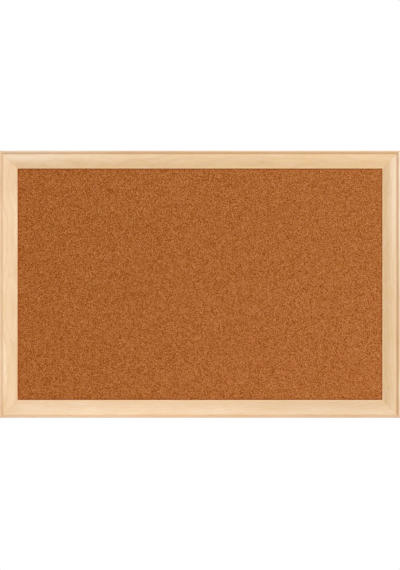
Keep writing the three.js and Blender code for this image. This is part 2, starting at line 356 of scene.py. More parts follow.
class Finish(Nodes):
    """A material in the making."""

    def __init__(self, name):
        self.material = bpy.data.materials.new(name)
        self.material.use_nodes = True
        super().__init__(self.material.node_tree)
        self.shader = self.tree.nodes["Principled BSDF"]

    def place(self):
        """Where a point lies on the board, in millimetres."""
        return self.node("ShaderNodeTexCoord").output("Object") * PER_METRE

    def split(self, vector):
        """The three parts of a vector or colour."""
        parts = self.node("ShaderNodeSeparateXYZ", None, {"Vector": vector})
        return parts, parts.output("Y"), parts.output("Z")

    def join(self, x, y, z):
        """A vector of three parts."""
        return self.node("ShaderNodeCombineXYZ", None, {"X": x, "Y": y, "Z": z})

    def noise(self, where, size, start=0.0, detail=2.0, distortion=0.0):
        """Soft noise from 0 to 1. Its size is that of its features, one for all axes or three."""
        sockets = {
            "Vector": where / size + start,
            "Scale": 1.0,
            "Detail": detail,
            "Distortion": distortion,
        }
        return self.node("ShaderNodeTexNoise", None, sockets)

    def cells(self, where, size, start=0.0):
        """How far a point lies from the heart of its cell. Color is random for each cell."""
        sockets = {"Vector": where / size + start, "Scale": 1.0}
        return self.node("ShaderNodeTexVoronoi", None, sockets)

    def chance(self, where, size, start=0.0):
        """A number from 0 to 1 that is random for each cell."""
        return self.split(self.cells(where, size, start).output("Color"))[0]

    def oval(self, where, centre, half_length, half_width):
        """How far a point lies from an oval's centre: 1 on its rim. It goes through the wood."""
        away = (where - centre) * (1 / half_length, 1 / half_width, 0.0)
        return self.math("LENGTH", away)

    def spots(self, where, cut, spots):
        """The strengths of the spots on a side of the frame, each fading out to its rim."""
        total = 0.0
        for at, inwards, radius, strength in spots:
            away = self.oval(where, (at + cut, inwards, 0.0), radius * SPOT_LENGTH, radius)
            total = away.between(*SPOT_FADE) * strength + total
        return total

    def mix(self, share, first, second):
        """A colour between two others."""
        sockets = {"Factor_Float": share, "A_Color": first, "B_Color": second}
        return self.node("ShaderNodeMix", {"data_type": "RGBA"}, sockets)

    def bump(self, height, distance, strength):
        """A normal that leans with a height from 0 to 1, which stands for distance."""
        sockets = {"Height": height, "Distance": distance, "Strength": strength}
        return self.node("ShaderNodeBump", None, sockets)

    def shine(self, **sockets):
        """Sets or links sockets of the shader. An underscore stands for a space in a name."""
        for name, value in sockets.items():
            self.fill(self.shader.inputs[name.replace("_", " ")], value)
        return self.material


class Sawn(NamedTuple):
    """How a side of the frame was sawn.

    A place on it is given in millimetres along it from the board's middle, to the right or upwards,
    and inwards from its outer edge. A spot has a place, a radius and a strength.
    """

    name: str  # its piece's name, and with frame_ before it its node's
    cut: float  # where along the log's pattern it was cut
    ring_centre: tuple  # the heart of the log, inwards and behind the front
    patches: float  # strength of the random patches
    # Straw is a tint of the pine, but its strength in the inner half is partly painted shade,
    # strong on the top rail and the right stile.
    straw: tuple  # strength of the straw colour in the outer and in the inner half
    quirk: tuple  # where the quirk's painted shade starts and ends inwards, and its strength
    upright: bool = False
    cream: tuple = (1.0, 0.0, 0.0)  # where pale sapwood is whole, where it has gone, its strength
    dim: tuple = (1.0, 0.0, 0.0)  # where it is dimmest, where it is no longer dim, the strength
    bead: float = 0.0  # how much shade is painted on the bead
    eyes: tuple = ()  # rings in loops: a place, half the length and width, the number of loops
    resin: tuple = ()  # amber spots
    knots: tuple = ()  # dark spots: the small ones are pin knots, the wide faint ones dim a place


# The quirk and bead strengths are painted shade: the quirk is darkest on the top rail and the right
# stile, which face away from the key lamp.
FRAME_SIDES = (
    Sawn(
        name="rail_top",
        cut=0.0,
        ring_centre=(12.0, 30.0),
        cream=(-240.0, -60.0, 1.0),
        patches=0.5,
        straw=(0.5, 0.9),
        quirk=(3.2, 6.0, 0.6),
        bead=0.2,
        eyes=((-190.0, 20.0, 55.0, 8.5, 3), (-72.0, 15.0, 15.0, 5.0, 1)),
        resin=((-88.0, 17.0, 8.0, 0.4), (160.0, 14.0, 12.0, 0.3), (249.0, 14.0, 11.0, 0.3)),
        knots=((93.0, 17.0, 3.2, 0.14),),
    ),
    Sawn(
        name="rail_bottom",
        cut=5101.0,
        ring_centre=(34.0, 42.0),
        cream=(-250.0, 200.0, 0.5),
        dim=(280.0, -150.0, 0.13),
        patches=0.4,
        straw=(0.15, 0.0),
        quirk=(2.4, 4.8, 0.17),
        bead=0.2,
        eyes=((-222.0, 21.0, 12.0, 5.0, 2),),
        resin=((37.0, 18.0, 7.0, 0.35), (55.0, 11.0, 4.0, 0.2), (-8.0, 17.0, 6.0, 0.3)),
        knots=((281.0, 22.0, 2.4, 0.3), (-290.0, 14.0, 22.0, 0.1)),
    ),
    Sawn(
        name="stile_left",
        upright=True,
        cut=6126.0,
        ring_centre=(-9.0, 55.0),
        dim=(190.0, -900.0, 0.065),
        patches=0.5,
        straw=(0.0, 0.1),
        quirk=(2.6, 5.0, 0.35),
        eyes=((118.0, 9.0, 10.0, 4.0, 1),),
        knots=((155.0, 14.0, 36.0, 0.07), (190.0, 14.0, 20.0, 0.07), (-190.0, 14.0, 22.0, 0.1)),
    ),
    Sawn(
        name="stile_right",
        upright=True,
        cut=7702.0,
        ring_centre=(20.0, 36.0),
        cream=(120.0, -30.0, 1.0),
        patches=0.6,
        straw=(0.15, 0.85),
        quirk=(3.4, 6.4, 0.74),
        bead=0.07,
        eyes=((98.0, 20.0, 55.0, 8.5, 3), (-15.0, 15.0, 15.0, 5.0, 1)),
        resin=((-15.0, 15.0, 10.0, 0.35), (-123.0, 17.0, 8.0, 0.3)),
        knots=((-156.0, 17.0, 3.5, 0.13),),
    ),
)

# The kinds of grain in the pine: how long and how wide their features are in millimetres, where in
# the noise they start, and how fine the noise is.
GRAIN = {
    "wander": (170, 45, 0, 1.5),
    "tone": (75, 14, 0, 2),
    "rosy": (17, 4.5, 91, 2),
    "streaks": (34, 1.7, 0, 3),
    "flecks": (13, 3, 23, 2),
    "fibres": (9, 0.35, 0, 2),
    "canals": (6, 0.45, 57, 0),
}
# The kinds that darken it: from which value on, from which value fully, and how strongly.
DARK_GRAIN = {
    "streaks": (0.5, 0.8, 0.24),
    "fibres": (0.6, 0.85, 0.14),
    "flecks": (0.48, 0.75, 0.24),
    "canals": (0.72, 0.8, 0.3),
}
# From which value of the tone or the rosy grain on the pine is so coloured, and from which fully,
# and how much stronger pink is than the other patches.
CREAMY_TONE, STRAW_TONE = (0.5, 0.68), (0.5, 0.34)
PINK_ROSY, GREEN_ROSY, AMBER_ROSY = (0.53, 0.65), (0.45, 0.33), (0.65, 0.4)
PINK_STRENGTH = 1.4
# How much of the sapwood the inner half loses, and how much it keeps off the patches and the grain.
SAPWOOD_INNER_LOSS = 0.7
SAPWOOD_OVER_PATCHES, SAPWOOD_OVER_GRAIN = 0.8, 0.5
# The growth rings: their width in millimetres, their share of the distance along the wood, how many
# rings they wander by, how bold they and an eye's rim are, and where in a ring late wood comes and
# goes.
RING_WIDTH = 3.1
RING_TAPER = 0.012
RING_WANDER = 7
RING_BOLDNESS, EYE_BOLDNESS = 0.3, 0.4
LATE_RISE, LATE_FALL = (0.4, 0.92), (1.0, 0.93)
# Where an eye's loops lie and where its bold rim starts and ends, as shares of its half size.
EYE_LOOPS = (1.0, 0.75)
EYE_RIM_OUTSIDE, EYE_RIM_INSIDE = (1.05, 0.95), (0.65, 0.75)
# How many times longer than wide a spot is, and between which shares of its size it fades.
SPOT_LENGTH = 1 / 0.7
SPOT_FADE = (1.0, 0.3)
# Between which places a trait fades in, in millimetres inwards from the outer edge or, for the
# quirk's depth, behind the front, and how wide the ends of the quirk's painted shade fade.
BEAD = (3.2, 2.5)
INNER_HALF = (9.0, 22.0)
SIGHT_LIP = (24.2, 24.8)
QUIRK_DEPTH = (4.4, 3.2)
QUIRK_FADE_IN, QUIRK_FADE_OUT = 0.6, 1.3


def late_wood(finish, where, side, wander):
    """The dark late wood of the growth rings, from 0 to 1, and how boldly it shows."""
    from_centre = (where - (side.cut, *side.ring_centre)) * (RING_TAPER, 1.0, 1.0)
    rings = finish.math("LENGTH", from_centre) / RING_WIDTH + wander * RING_WANDER
    boldness = RING_BOLDNESS
    for at, inwards, half_length, half_width, loops in side.eyes:
        away = finish.oval(where, (at + side.cut, inwards, 0.0), half_length, half_width)
        rings = rings + away.between(*EYE_LOOPS) * loops
        rim = away.between(*EYE_RIM_OUTSIDE) * away.between(*EYE_RIM_INSIDE)
        boldness = rim * EYE_BOLDNESS + boldness
    ring = finish.math("FRACT", rings)
    return ring.between(*LATE_RISE) * ring.between(*LATE_FALL), boldness


def patched(finish, side, sapwood, inner, tone, rosy):
    """The colour of the pine with its pale sapwood and its cream, straw, pink and olive patches."""
    colours = bpy.context.scene.board_colours
    creamy = sapwood + tone.between(*CREAMY_TONE) * side.patches
    colour = finish.mix(creamy, colours.pine, colours.pine_cream)
    plain = 1 - sapwood * SAPWOOD_OVER_PATCHES
    # The straw patches; the inner half's straw is partly painted shade.
    straw, inner_straw = side.straw
    dull = tone.between(*STRAW_TONE) * side.patches + inner * (inner_straw - straw) + straw
    colour = finish.mix(dull * plain, colour, colours.pine_straw)
    pink = rosy.between(*PINK_ROSY) * plain * (side.patches * PINK_STRENGTH)
    colour = finish.mix(pink, colour, colours.pine_pink)
    green = rosy.between(*GREEN_ROSY) * plain * side.patches
    return finish.mix(green, colour, colours.pine_green)


def knots_and_shade(finish, where, side, outer, front):
    """How far the knots, and the painted shade in the quirk and on the bead, cover the pine."""
    starts, ends, strength = side.quirk
    # Painted shade in the quirk, and on the bead, where they lie near the front.
    painted_shade = outer.between(starts, starts + QUIRK_FADE_IN)
    painted_shade = painted_shade * outer.between(ends, ends - QUIRK_FADE_OUT) * strength
    painted_shade = (painted_shade + outer.between(*BEAD) * side.bead) * front.between(*QUIRK_DEPTH)
    return finish.spots(where, side.cut, side.knots) + painted_shade


def pine(side):
    """Pine with growth rings, sapwood, patches, resin and pin knots, painted shade in the quirk and
    on the bead, and painted light on the sight lip.
    """
    colours = bpy.context.scene.board_colours
    half = (BOARD_HIGH - BOARD_LOW) / 2 * PER_METRE
    finish = Finish(f"pine_{side.name}")
    x, y, z = finish.split(finish.place() - tuple(MIDDLE * PER_METRE))
    along, across, reach = (z, x, half.x) if side.upright else (x, z, half.z)
    outer = reach - finish.math("ABSOLUTE", across)
    front = y + half.y
    where = finish.join(along + side.cut, outer, front)
    grain = {
        kind: finish.noise(where, (length, width, width), start, detail)
        for kind, (length, width, start, detail) in GRAIN.items()
    }
    whole, gone, strength = side.cream
    inner = outer.between(*INNER_HALF)
    sapwood = along.between(gone, whole) * strength * (1 - inner * SAPWOOD_INNER_LOSS)
    colour = patched(finish, side, sapwood, inner, grain["tone"], grain["rosy"])

    late, boldness = late_wood(finish, where, side, grain["wander"])
    dark = late * boldness
    for kind, (low, high, strength) in DARK_GRAIN.items():
        dark = dark + grain[kind].between(low, high) * strength
    colour = finish.mix(dark * (1 - sapwood * SAPWOOD_OVER_GRAIN), colour, colours.pine_late)
    # Painted light: the sight lip warmed by light that the cork throws back onto it.
    colour = finish.mix(outer.between(*SIGHT_LIP), colour, colour * colours.lip_bounce_light)
    dimmest, clear, strength = side.dim
    colour = colour * (1 - along.between(clear, dimmest) * strength)
    amber = finish.spots(where, side.cut, side.resin) * grain["rosy"].between(*AMBER_ROSY)
    colour = finish.mix(amber, colour, colours.pine_resin)
    # Knots, and painted shade in the quirk and on the bead.
    colour = finish.mix(knots_and_shade(finish, where, side, outer, front), colour, colours.pine_knot_and_shade)
    return finish.shine(
        Base_Color=colour,
        Roughness=0.5 + grain["fibres"] * 0.16,
        Normal=finish.bump(grain["fibres"] * 0.6 + late * 0.4, 0.03 * MM, 0.6),
    )


# Widths in the cork, in millimetres: of the stir that bends the granules' outlines, and how far it
# carries them, of a crumb, and of the places where the hue drifts.
STIR_WIDTH, STIR_REACH = 0.8, 0.5
CRUMB_WIDTH = 0.62
HUE_WIDTH = 8
# A cork granule: how pale its heart is at least, how much paler it is at most, how fast it darkens
# away from its heart, and how much paler each millimetre to the right makes it, as painted light.
GRANULE_LEVEL = 0.99
GRANULE_SPREAD = 0.54
GRANULE_RIM = 1.62
GRANULE_PAINTED_LIGHT = 0.00018
# Which few of the granules are pale flecks, and how strongly.
FLECKS = (0.07, 0.04)
FLECK_STRENGTH = 0.6
# How much the cork's green and blue drift from place to place.
HUE_DRIFT = (0.0, 0.12, 0.3)
# The shade on the cork beside the frame: how far it reaches and half of how much less far it does
# on the right, both in millimetres, and its strength.
SHADE_REACH = 3.0
SHADE_SHIFT = 0.6
SHADE_STRENGTH = 0.45


def cork():
    """Pressed cork granules with dark rims, pale flecks, a drifting hue, painted light that pales
    it towards the right, and shade at the frame.
    """
    colours = bpy.context.scene.board_colours
    granule = bpy.context.scene.board_sizes.granule * PER_METRE
    opening = ((BOARD_HIGH - BOARD_LOW) / 2 - Vector((MOULDING, 0, MOULDING))) * PER_METRE
    finish = Finish("cork")
    where = finish.place() - tuple(MIDDLE * PER_METRE)
    x, _, z = finish.split(where)
    stir = finish.noise(where, STIR_WIDTH, detail=1.0).output("Color")
    loose = where + (stir - 0.5) * STIR_REACH
    from_heart = finish.cells(loose, granule)
    tone, kind, _ = finish.split(from_heart.output("Color"))
    crumbs = finish.chance(loose, CRUMB_WIDTH, start=31.0)
    # Painted light: the cork turns paler towards the right, the side the key lamp stands on.
    level = GRANULE_LEVEL + tone * GRANULE_SPREAD - from_heart * GRANULE_RIM + x * GRANULE_PAINTED_LIGHT
    colour = finish.mix(level.between(0.0, 0.5), colours.cork_dark, colours.cork)
    colour = finish.mix(level.between(0.5, 1.0), colour, colours.cork_pale)
    colour = finish.mix(kind.between(*FLECKS) * FLECK_STRENGTH, colour, colours.cork_pale)
    drift = finish.noise(where, HUE_WIDTH, start=7.0, detail=1.0).output("Color")
    colour = colour * ((drift - 0.5) * HUE_DRIFT + 1.0)
    in_from_side = opening.x + SHADE_SHIFT - finish.math("ABSOLUTE", x - SHADE_SHIFT)
    in_from_rail = opening.z - finish.math("ABSOLUTE", z)
    beside = finish.math("MINIMUM", in_from_side, in_from_rail)
    shade = beside.between(SHADE_REACH, 0.0) * SHADE_STRENGTH
    return finish.shine(
        Base_Color=finish.mix(shade, colour, colours.cork_dark),
        Roughness=0.82 + crumbs * 0.14,
        Specular_IOR_Level=0.1,
        Normal=finish.bump(level, 0.12 * MM, 0.5),
    )


def softboard():
    """Matted wood fibres with specks of bark."""
    colours = bpy.context.scene.board_colours
    finish = Finish("softboard")
    where = finish.place()
    mat = finish.noise(where, 0.9, detail=4.0, distortion=2.5)
    clouds = finish.noise(where, 14)
    bark = finish.chance(where, 1.3).between(0.9, 0.94)
    pale = mat.between(0.3, 0.7) * 0.4 + clouds * 0.3
    colour = finish.mix(pale, colours.softboard_dark, colours.softboard)
    return finish.shine(
        Base_Color=finish.mix(bark * 0.6, colour, colours.softboard_dark),
        Roughness=0.88 + mat * 0.1,
        Specular_IOR_Level=0.2,
        Normal=finish.bump(mat, 0.2 * MM, 0.8),
    )


def hardboard():
    """Pressed brown fibres, with the print of a wire screen on the back and pale rubbed places."""
    colours = bpy.context.scene.board_colours
    turn = 2 * math.pi / (bpy.context.scene.board_sizes.screen * PER_METRE)
    finish = Finish("hardboard")
    where = finish.place()
    x, _, z = finish.split(where)
    ribs = finish.math("SINE", x * turn) * finish.math("SINE", z * turn) * 0.5 + 0.5
    clouds = finish.noise(where, 60, detail=5.0)
    mat = finish.noise(where, 1.1, detail=4.0, distortion=3.0)
    rubbed = finish.noise(where, (60, 9, 9), start=19.0, detail=4.0).between(0.56, 0.8)
    pale = mat.between(0.42, 0.75) * 0.5 + ribs * 0.18
    colour = finish.mix(pale, colours.hardboard, colours.hardboard_pale)
    colour = colour * (1.05 - clouds.between(0.3, 0.7) * 0.14)
    return finish.shine(
        Base_Color=finish.mix(rubbed * 0.5, colour, colours.hardboard_pale),
        Roughness=0.6 + mat * 0.2,
        Specular_IOR_Level=0.35,
        Normal=finish.bump(ribs * 0.7 + mat * 0.3, 0.16 * MM, 0.9),
    )


def nail_steel():
    """Cold rolled steel strip with faint rolling lines and oily scuffs."""
    colours = bpy.context.scene.board_colours
    finish = Finish("nail_steel")
    where = finish.place()
    lines = finish.noise(where, (0.09, 5, 0.09), detail=3.0)
    scuffs = finish.noise(where, 1.7, detail=4.0, distortion=1.0)
    return finish.shine(
        Base_Color=finish.mix(scuffs.between(0.48, 0.75) * 0.6, colours.steel, colours.steel_dark),
        Metallic=1.0,
        Roughness=0.26 + scuffs * 0.26,
        Normal=finish.bump(lines, 0.008 * MM, 0.5),
    )


def zinc_plate():
    """Bright zinc plating with a fine spangle, dull patches and handling marks."""
    colours = bpy.context.scene.board_colours
    finish = Finish("zinc_plate")
    where = finish.place()
    spangle = finish.chance(where, 0.55)
    haze = finish.noise(where, 2.6, detail=3.0)
    marks = finish.noise(where, (0.12, 1.5, 2.5), detail=3.0, distortion=0.6)
    dull = haze.between(0.42, 0.7) * 0.6 + spangle * 0.25
    return finish.shine(
        Base_Color=finish.mix(dull, colours.zinc, colours.zinc_dull),
        Metallic=1.0,
        Roughness=0.2 + haze * 0.18 + spangle * 0.08,
        Normal=finish.bump(marks * 0.7 + spangle * 0.3, 0.008 * MM, 0.5),
    )


def rubber():
    """Matt rubber that has caught some dust."""
    colours = bpy.context.scene.board_colours
    finish = Finish("rubber")
    where = finish.place()
    dust = finish.noise(where, 1.4, detail=5.0)
    grain = finish.noise(where, 0.14)
    return finish.shine(
        Base_Color=finish.mix(dust.between(0.45, 0.78), colours.rubber, colours.rubber_dust),
        Roughness=0.62 + dust * 0.3,
        Normal=finish.bump(grain * 0.6 + dust * 0.4, 0.03 * MM, 0.6),
    )


def only(piece):
    """Selects one object alone and makes it active."""
    bpy.ops.object.select_all(action="DESELECT")
    piece.select_set(True)
    bpy.context.view_layer.objects.active = piece


@contextmanager
def editing(piece):
    """Edit mode on one object, with all of it selected."""
    only(piece)
    bpy.ops.object.mode_set(mode="EDIT")
    bpy.ops.mesh.select_all(action="SELECT")
    yield
    bpy.ops.object.mode_set(mode="OBJECT")


def close_up(piece):
    """Merges the doubles of a mesh, closes its open ends and turns its faces outwards."""
    with editing(piece):
        bpy.ops.mesh.remove_doubles(threshold=MERGE_DISTANCE)
        bpy.ops.mesh.fill_holes(sides=0)
        bpy.ops.mesh.normals_make_consistent(inside=False)


def copy_of(node):
    """A new object with a node's mesh, its loose triangles merged into whole faces."""
    piece = bpy.data.objects.new(node + "_copy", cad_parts[node].data.copy())
    bpy.context.scene.collection.objects.link(piece)
    with editing(piece):
        bpy.ops.mesh.customdata_custom_splitnormals_clear()
        bpy.ops.mesh.remove_doubles(threshold=MERGE_DISTANCE)
        bpy.ops.mesh.dissolve_limited(angle_limit=FLAT_ANGLE)
    return piece


def settled():
    """The newest object, its place applied to its mesh."""
    bpy.ops.object.transform_apply()
    return bpy.context.active_object


def pair(piece, node):
    """Each side's name with its piece: the left one, and its copy at that node on the right."""
    left, right = (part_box(f"{node}_{side}")[0] for side in SIDES)
    only(piece)
    bpy.ops.object.duplicate_move(TRANSFORM_OT_translate={"value": right - left})
    return zip(SIDES, (piece, settled()))


def modify(piece, kind, **settings):
    """Adds a modifier and applies it."""
    only(piece)
    bpy.ops.object.modifier_add(type=kind)
    modifier = piece.modifiers[-1]
    for name, value in settings.items():
        setattr(modifier, name, value)
    bpy.ops.object.modifier_apply(modifier=modifier.name)


def ease(piece, width):
    """Rounds the sharp edges of a piece."""
    modify(piece, "BEVEL", width=width, segments=EDGE_SEGMENTS, use_clamp_overlap=False)


def complete(piece, name, finish, node, body=BOARD):
    """Names a piece, gives it its finish, and lets it stand for its node."""
    piece.name = name
    piece.data.name = name
    piece.data.materials.clear()
    piece.data.materials.append(finish)
    only(piece)
    bpy.ops.object.shade_smooth_by_angle(angle=SMOOTH_ANGLE)
    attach(piece, body)
    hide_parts(node)


def extrude(x, y, z):
    """Extrudes what is selected."""
    bpy.ops.mesh.extrude_region_move(TRANSFORM_OT_translate={"value": (x, y, z)})


def wire_end(radius, place, sides):
    """The open end of a wire that runs along x."""
    bpy.ops.mesh.primitive_circle_add(
        vertices=sides, radius=radius, location=place, rotation=(0, QUARTER, 0)
    )
    return settled()


def turned(foot, profile, sides):
    """A round solid on an axis square to the wall, from heights above its foot and radii."""
    (height, radius), *rings = profile
    bpy.ops.mesh.primitive_circle_add(
        vertices=sides,
        radius=radius,
        fill_type="NGON",
        location=foot + Vector((0, height, 0)),
        rotation=(QUARTER, 0, 0),
    )
    piece = settled()
    with editing(piece):
        for next_height, next_radius in rings:
            extrude(0, next_height - height, 0)
            ratio = next_radius / radius
            bpy.ops.transform.resize(value=(ratio, 1, ratio), center_override=foot)
            height, radius = next_height, next_radius
        bpy.ops.mesh.select_all(action="SELECT")
        bpy.ops.mesh.normals_make_consistent(inside=False)
    return piece


def sheet(node, step, outwards):
    """A sheet in its node's place, with a fine grid on its face: outwards is -1 to face -y."""
    low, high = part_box(node)
    size = high - low
    bpy.ops.mesh.primitive_grid_add(
        x_subdivisions=round(size.x / step),
        y_subdivisions=round(size.z / step),
        size=1.0,
        location=(low + high) / 2 + Vector((0, outwards * size.y / 2, 0)),
        rotation=(QUARTER, 0, 0),
    )
    bpy.context.active_object.scale = (size.x, size.z, 1.0)
    piece = settled()
    margin = step / 2
    inner = [
        point.index
        for point in piece.data.vertices
        if low.x + margin < point.co.x < high.x - margin
        and low.z + margin < point.co.z < high.z - margin
    ]
    piece.vertex_groups.new(name="face").add(inner, 1.0, "ADD")
    with editing(piece):
        bpy.ops.mesh.select_mode(type="EDGE")
        bpy.ops.mesh.select_all(action="DESELECT")
        bpy.ops.mesh.select_non_manifold()
        extrude(0, -outwards * size.y, 0)
        bpy.ops.mesh.edge_face_add()
        bpy.ops.mesh.select_all(action="SELECT")
        bpy.ops.mesh.normals_make_consistent(inside=False)
        bpy.ops.mesh.select_mode(type="VERT")
    return piece


def sink(piece, texture, depth, outwards):
    """Presses a relief into the gridded face of a sheet."""
    modify(
        piece,
        "DISPLACE",
        texture=texture,
        texture_coords="LOCAL",
        direction="Y",
        vertex_group="face",
        mid_level=0.0,
        strength=-outwards * depth,
    )


class BOARD_OT_frame_sides(bpy.types.Operator):
    """Model the four mitred sides of the pine frame"""

    bl_idname = "cork_board.frame_sides"
    bl_label = "Frame sides"

    def execute(self, context):
        sizes = context.scene.board_sizes
        for side in FRAME_SIDES:
            node = f"frame_{side.name}"
            piece = copy_of(node)
            ease(piece, sizes.arris)
            close_up(piece)
            low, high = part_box(node)
            stretch = Vector((1, 1, 1))
            along = 2 if side.upright else 0
            stretch[along] += 2 * sizes.mitre_reach / (high - low)[along]
            with editing(piece):
                bpy.ops.transform.resize(value=stretch, center_override=MIDDLE)
            complete(piece, side.name, pine(side), node)
        return {"FINISHED"}


class BOARD_OT_cork(bpy.types.Operator):
    """Model the cork sheet, with the relief of its granules"""

    bl_idname = "cork_board.cork"
    bl_label = "Cork sheet"

    def execute(self, context):
        sizes = context.scene.board_sizes
        piece = sheet("cork_sheet", sizes.cork_step, -1)
        relief = bpy.data.textures.new("granules", "VORONOI")
        relief.noise_scale = sizes.granule
        sink(piece, relief, sizes.cork_relief, -1)
        complete(piece, "cork_face", cork(), "cork_sheet")
        return {"FINISHED"}


class BOARD_OT_boards(bpy.types.Operator):
    """Model the softboard and the hardboard behind the cork"""

    bl_idname = "cork_board.boards"
    bl_label = "Boards behind the cork"

    def execute(self, context):
        sizes = context.scene.board_sizes
        wave = bpy.data.textures.new("waves", "CLOUDS")
        wave.noise_scale = WAVE_FACETS * sizes.board_step
        for name, node, finish, slot in (
            ("softboard_core", "core_board", softboard(), "softboard"),
            ("hardboard_back", "backing_sheet", hardboard(), "hardboard"),
        ):
            piece = sheet(node, sizes.board_step, 1)
            ease(piece, sizes.board_edge)
            sink(piece, wave, sizes.board_wave, 1)
            complete(piece, name, finish, node)
        return {"FINISHED"}


class BOARD_OT_fixings(bpy.types.Operator):
    """Model the corner nails, and the points that hold the panel, rounded at the end that shows"""

    bl_idname = "cork_board.fixings"
    bl_label = "Corner nails and panel points"

    def execute(self, context):
        sizes = context.scene.board_sizes
        steel = nail_steel()
        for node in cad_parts:
            kind, _, number = node.rpartition("_")
            name = {"v_nail": "corner_nail", "retaining_point": "panel_point"}.get(kind)
            if name:
                piece = copy_of(node)
                if kind == "retaining_point":
                    self.round_end(piece, *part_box(node), sizes.point_corner)
                ease(piece, sizes.metal_edge)
                complete(piece, f"{name}_{number}", steel, node)
        return {"FINISHED"}

    def round_end(self, point, low, high, radius):
        """Rounds the two corners of a panel point that lie nearer to the board's middle."""
        size = high - low
        along = 0 if size.x > size.z else 2
        end = low[along] if low[along] > MIDDLE[along] else high[along]
        with editing(point):
            bpy.ops.mesh.select_mode(type="EDGE")
            bpy.ops.mesh.select_all(action="DESELECT")
            bpy.ops.object.mode_set(mode="OBJECT")
            for edge in point.data.edges:
                first, second = (point.data.vertices[index].co for index in edge.vertices)
                at_end = max(abs(first[along] - end), abs(second[along] - end)) < MERGE_DISTANCE
                edge.select = at_end and abs(first.y - second.y) > size.y / 2
            bpy.ops.object.mode_set(mode="EDIT")
            bpy.ops.mesh.bevel(offset=radius, segments=POINT_SEGMENTS, affect="EDGES")
            bpy.ops.mesh.select_mode(type="VERT")


class BOARD_OT_hangers(bpy.types.Operator):
    """Model the two D-ring hangers with their straps and screws"""

    bl_idname = "cork_board.hangers"
    bl_label = "Hangers"

    def execute(self, context):
        sizes = context.scene.board_sizes
        zinc = zinc_plate()
        for side in SIDES:
            strap = copy_of(f"hanger_strap_{side}")
            ease(strap, sizes.metal_edge)
            complete(strap, f"strap_{side}", zinc, f"hanger_strap_{side}")
        for side, ring in pair(self.ring(sizes), "hanger_ring"):
            node = f"hanger_ring_{side}"
            complete(ring, f"d_ring_{side}", zinc, node, f"ring_{side}")
        for side, screw in pair(self.screw(sizes), "hanger_screw"):
            complete(screw, f"screw_{side}", zinc, f"hanger_screw_{side}")
        return {"FINISHED"}

    def ring(self, sizes):
        """A wire bent to a D, whose ends meet in the middle of its straight bar."""
        low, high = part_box("hanger_ring_left")
        radius = sizes.wire / 2
        half = (high.x - low.x) / 2 - radius
        corner = sizes.ring_corner
        straight = half - corner
        bar = Vector(((low.x + high.x) / 2, (low.y + high.y) / 2, low.z + radius))
        arch = Vector((bar.x, bar.y, high.z - radius - half))
        right = bar + Vector((straight, 0, corner))
        left = bar + Vector((-straight, 0, corner))
        split = sizes.ring_split / 2
        ring = wire_end(radius, bar + Vector((split, 0, 0)), sizes.wire_sides)
        with editing(ring):
            extrude(straight - split, 0, 0)
            self.bend(right, 1, CORNER_STEPS)
            extrude(0, 0, arch.z - right.z)
            self.bend(arch, 2, ARCH_STEPS)
            extrude(0, 0, left.z - arch.z)
            self.bend(left, 1, CORNER_STEPS)
            extrude(straight - split, 0, 0)
        close_up(ring)
        ease(ring, sizes.metal_edge)
        return ring

    def bend(self, centre, quarters, steps):
        """Carries the end of a wire round a centre by a number of quarter turns."""
        bpy.ops.mesh.spin(steps=steps, angle=quarters * QUARTER, center=centre, axis=(0, 1, 0))

    def screw(self, sizes):
        """A pan head wood screw with a thread and a cross recess."""
        low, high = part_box("hanger_screw_left")
        core, pitch = sizes.screw_core, sizes.screw_pitch
        head = (high.x - low.x) / 2
        foot = Vector(((low.x + high.x) / 2, high.y - sizes.screw_head, (low.z + high.z) / 2))
        length = foot.y - low.y
        profile = [(-length, CLOSED * core)]
        for turn in range(1, int(length / pitch)):
            height = pitch * turn - length
            taper = min(1.0, turn / TAPERED_TURNS)
            profile.append((height - THREAD_RISE * pitch, taper * core))
            profile.append((height, taper * sizes.screw_thread))
            profile.append((height + THREAD_FALL * pitch, taper * core))
        profile += [(0, core), (0, HEAD_UNDERSIDE * head), (HEAD_EDGE * sizes.screw_head, head)]
        for step in range(DOME_STEPS):
            angle = QUARTER * step / DOME_STEPS
            rise = DOME_START + (1 - DOME_START) * math.sin(angle)
            profile.append((rise * sizes.screw_head, head * math.cos(angle)))
        profile.append((sizes.screw_head, CLOSED * head))
        screw = turned(foot, profile, SCREW_SIDES)
        top = foot + Vector((0, sizes.screw_head, 0))
        for quarter in range(2):
            cutter = self.cross_cutter(sizes, top, quarter)
            modify(screw, "BOOLEAN", object=cutter, operation="DIFFERENCE", solver="EXACT")
            bpy.data.objects.remove(cutter)
        return screw

    def cross_cutter(self, sizes, top, quarter):
        """One slot of a cross recess, which narrows downwards."""
        bpy.ops.mesh.primitive_cube_add(size=1.0, location=top, rotation=(0, quarter * QUARTER, 0))
        extent = (sizes.cross_length, 2 * sizes.cross_depth, sizes.cross_width)
        bpy.context.active_object.scale = extent
        cutter = settled()
        with editing(cutter):
            bpy.ops.mesh.select_all(action="DESELECT")
            bpy.ops.object.mode_set(mode="OBJECT")
            for vertex in cutter.data.vertices:
                vertex.select = vertex.co.y < top.y
            bpy.ops.object.mode_set(mode="EDIT")
            taper = (RECESS_TAPER, 1, RECESS_TAPER)
            bpy.ops.transform.resize(value=taper, center_override=top)
        return cutter


class BOARD_OT_feet(bpy.types.Operator):
    """Model the two rubber bumpers"""

    bl_idname = "cork_board.feet"
    bl_label = "Bumpers"

    def execute(self, context):
        black = rubber()
        low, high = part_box("bumper_left")
        size = high - low
        foot = Vector(((low.x + high.x) / 2, low.y, (low.z + high.z) / 2))
        profile = [(rise * size.y, reach * size.x / 2) for rise, reach in FOOT_PROFILE]
        for side, piece in pair(turned(foot, profile, FOOT_SIDES), "bumper"):
            complete(piece, f"foot_{side}", black, f"bumper_{side}")
        return {"FINISHED"}


